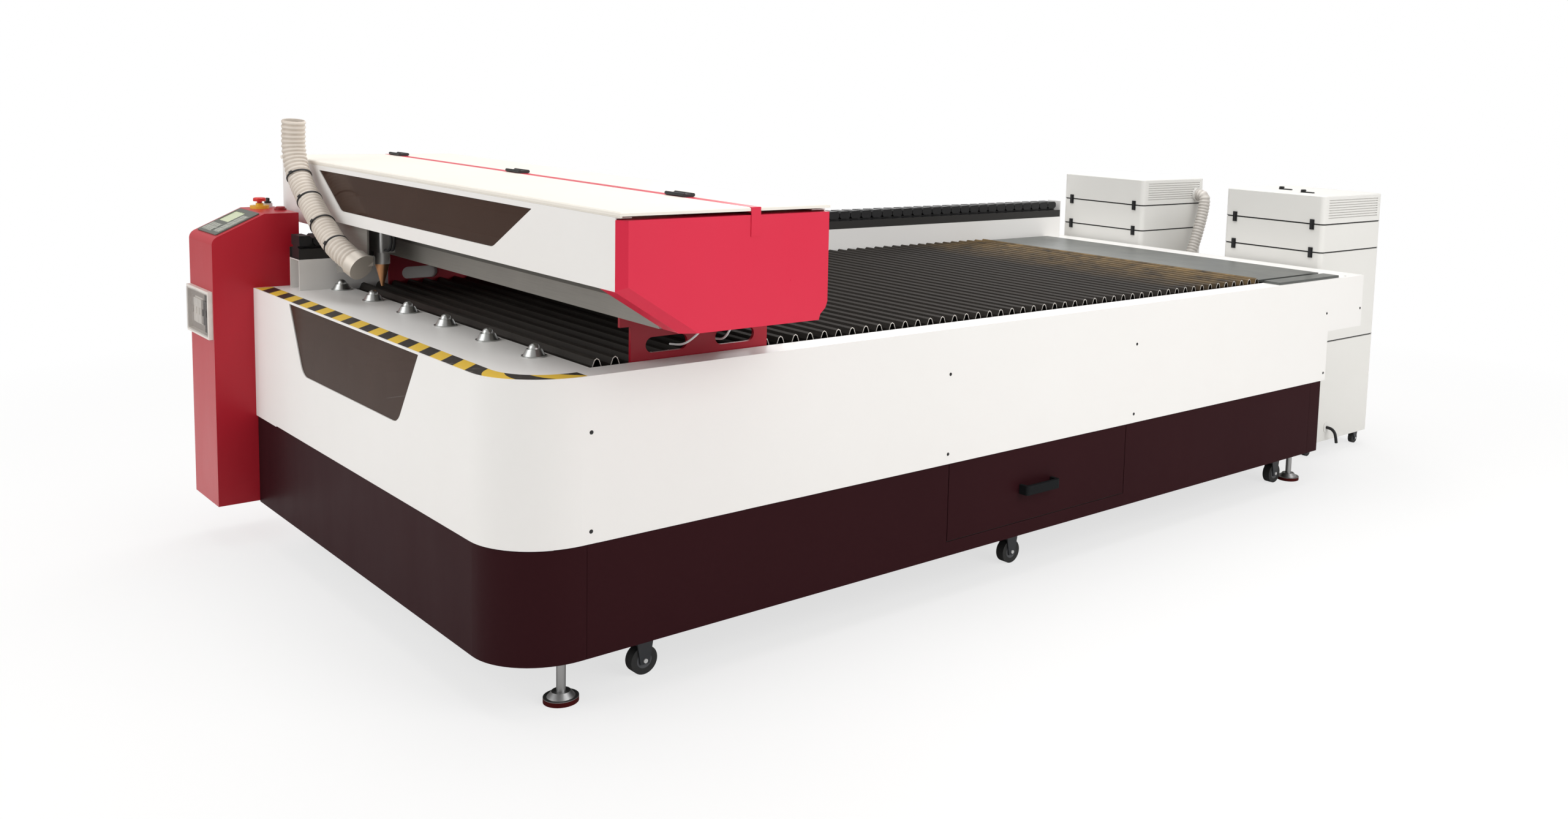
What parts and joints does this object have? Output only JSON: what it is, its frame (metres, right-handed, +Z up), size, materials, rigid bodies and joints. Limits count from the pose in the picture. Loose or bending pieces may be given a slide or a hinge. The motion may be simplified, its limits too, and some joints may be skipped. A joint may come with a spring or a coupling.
{
  "type": "fiber laser cutting machine",
  "caption": "Flat-bed fiber laser cutting machine: slatted table with drawer, travelling gantry with lids and cutting head, control pedestal and filter cabinets.",
  "frame": {"origin": "middle of the machine's footprint, cabinets included, at floor level", "axes": "+X from the front of the bed to the cabinets, +Y from the drawer side to the pedestal side, +Z up"},
  "size_m": [4.568, 2.342, 1.4352],
  "materials": {
    "white_panel": "satin powder coat",
    "cream_cover": "satin powder coat",
    "dark_skirt": "satin powder coat",
    "red_shell": "satin powder coat",
    "black_frame": "matt coat",
    "slat_steel": "dark oiled steel",
    "grey_sheet": "satin sheet",
    "zinc": "bright zinc",
    "smoked": "smoked brown",
    "rail_steel": "ground steel",
    "black_plastic": "moulded",
    "foot_steel": "zinc plated",
    "wheel_rubber": "hard rubber",
    "panel_grey": "membrane panel",
    "yellow_plastic": "moulded",
    "red_plastic": "moulded",
    "cabinet_white": "fine texture coat",
    "head_silver": "satin",
    "copper": "turned",
    "hose_clear": "ribbed translucent",
    "ivory_plastic": "moulded"
  },
  "bodies": {
    "bed": {"base_frame": "black_frame", "front_cladding": "white_panel", "near_side_cladding": "white_panel", "far_side_cladding": "white_panel", "rear_cladding": "white_panel", "skirt_panels": "dark_skirt", "top_deck": "white_panel", "slats": "slat_steel", "slat_supports": "slat_steel", "rear_plate": "grey_sheet", "ball_units": "zinc", "bed_window": "smoked", "window_fittings": "black_frame", "guide_rails": "rail_steel", "rail_cover": "white_panel", "cable_tray": "black_frame", "cable_chain": "black_plastic", "levelling_feet": "foot_steel", "caster_forks": "foot_steel", "pedestal": "red_shell", "control_panel": "panel_grey", "switch_bases": "yellow_plastic", "breaker_box": "ivory_plastic", "right_cabinet": "cabinet_white", "left_cabinet": "cabinet_white", "cabinet_latches": "black_plastic", "duct_hose": "hose_clear", "power_cable": "black_plastic"},
    "gantry": {"near_cap": "red_shell", "far_cap": "red_shell", "front_cover": "white_panel", "rear_cover": "white_panel", "gantry_window": "smoked", "centre_strip": "red_shell", "lid_hinges": "black_plastic", "gantry_beam": "black_frame", "beam_face": "grey_sheet", "gantry_brackets": "red_shell", "rail_carriages": "rail_steel"},
    "front_lid": {"front_lid": "cream_cover"},
    "rear_lid": {"rear_lid": "cream_cover"},
    "head": {"head_carriage": "head_silver", "hose_arm": "grey_sheet", "suction_hose": "hose_clear", "hose_clamps": "black_plastic"},
    "z_slide": {"cutting_head": "head_silver", "nozzle": "copper", "head_lines": "black_plastic"},
    "drawer": {"drawer": "dark_skirt"},
    "breaker_door": {"breaker_door": "smoked"},
    "estop_button": {"estop_button": "red_plastic"},
    "key_switch": {"key_switch": "black_plastic"},
    "push_button": {"push_button": "red_plastic"},
    "bed_wheels_1": {"bed_wheels_1": "wheel_rubber"},
    "bed_wheels_2": {"bed_wheels_2": "wheel_rubber"},
    "bed_wheels_3": {"bed_wheels_3": "wheel_rubber"},
    "right_cabinet_wheels_front": {"right_cabinet_wheels_front": "wheel_rubber"},
    "right_cabinet_wheels_rear": {"right_cabinet_wheels_rear": "wheel_rubber"},
    "left_cabinet_wheels_front": {"left_cabinet_wheels_front": "wheel_rubber"},
    "left_cabinet_wheels_rear": {"left_cabinet_wheels_rear": "wheel_rubber"}
  },
  "joints": [
    {"name": "gantry_travel", "type": "slide", "parent": "bed", "child": "gantry", "axis": [1, 0, 0], "range_m": [0, 2.88]},
    {"name": "head_travel", "type": "slide", "parent": "gantry", "child": "head", "axis": [0, 1, 0], "range_m": [-1.25, 0]},
    {"name": "head_height", "type": "slide", "parent": "head", "child": "z_slide", "axis": [0, 0, 1], "range_m": [-0.018, 0.06]},
    {"name": "front_lid_hinge", "type": "hinge", "parent": "gantry", "child": "front_lid", "pos_m": [-1.595, 0, 1.303], "axis": [0, 1, 0], "range_deg": [0, 80]},
    {"name": "rear_lid_hinge", "type": "hinge", "parent": "gantry", "child": "rear_lid", "pos_m": [-1.566, 0, 1.303], "axis": [0, -1, 0], "range_deg": [0, 80]},
    {"name": "drawer_slide", "type": "slide", "parent": "bed", "child": "drawer", "axis": [0, -1, 0], "range_m": [0, 0.7]},
    {"name": "breaker_door_hinge", "type": "hinge", "parent": "bed", "child": "breaker_door", "pos_m": [-2.28265, 1.012, 0.858], "axis": [0, 1, 0], "range_deg": [0, 100]},
    {"name": "estop_press", "type": "slide", "parent": "bed", "child": "estop_button", "axis": [0, 0, -1], "range_m": [0, 0.006], "stiffness_N_per_m": 1500, "springref_m": -0.002},
    {"name": "key_turn", "type": "hinge", "parent": "bed", "child": "key_switch", "pos_m": [-2.023, 1.115, 1.132], "axis": [0, 0, 1], "range_deg": [0, 90]},
    {"name": "button_press", "type": "slide", "parent": "bed", "child": "push_button", "axis": [0, 0, -1], "range_m": [0, 0.004], "stiffness_N_per_m": 800, "springref_m": -0.002},
    {"name": "bed_wheels_1_spin", "type": "hinge", "parent": "bed", "child": "bed_wheels_1", "pos_m": [-1.697, -0.041, 0.0405], "axis": [0, 1, 0], "continuous": true},
    {"name": "bed_wheels_2_spin", "type": "hinge", "parent": "bed", "child": "bed_wheels_2", "pos_m": [-0.27, -0.041, 0.0405], "axis": [0, 1, 0], "continuous": true},
    {"name": "bed_wheels_3_spin", "type": "hinge", "parent": "bed", "child": "bed_wheels_3", "pos_m": [1.331, -0.041, 0.0405], "axis": [0, 1, 0], "continuous": true},
    {"name": "right_cabinet_wheels_front_spin", "type": "hinge", "parent": "bed", "child": "right_cabinet_wheels_front", "pos_m": [1.83, -0.473, 0.024], "axis": [0, 1, 0], "continuous": true},
    {"name": "right_cabinet_wheels_rear_spin", "type": "hinge", "parent": "bed", "child": "right_cabinet_wheels_rear", "pos_m": [2.238, -0.473, 0.024], "axis": [0, 1, 0], "continuous": true},
    {"name": "left_cabinet_wheels_front_spin", "type": "hinge", "parent": "bed", "child": "left_cabinet_wheels_front", "pos_m": [1.83, 0.546, 0.024], "axis": [0, 1, 0], "continuous": true},
    {"name": "left_cabinet_wheels_rear_spin", "type": "hinge", "parent": "bed", "child": "left_cabinet_wheels_rear", "pos_m": [2.238, 0.546, 0.024], "axis": [0, 1, 0], "continuous": true}
  ]
}
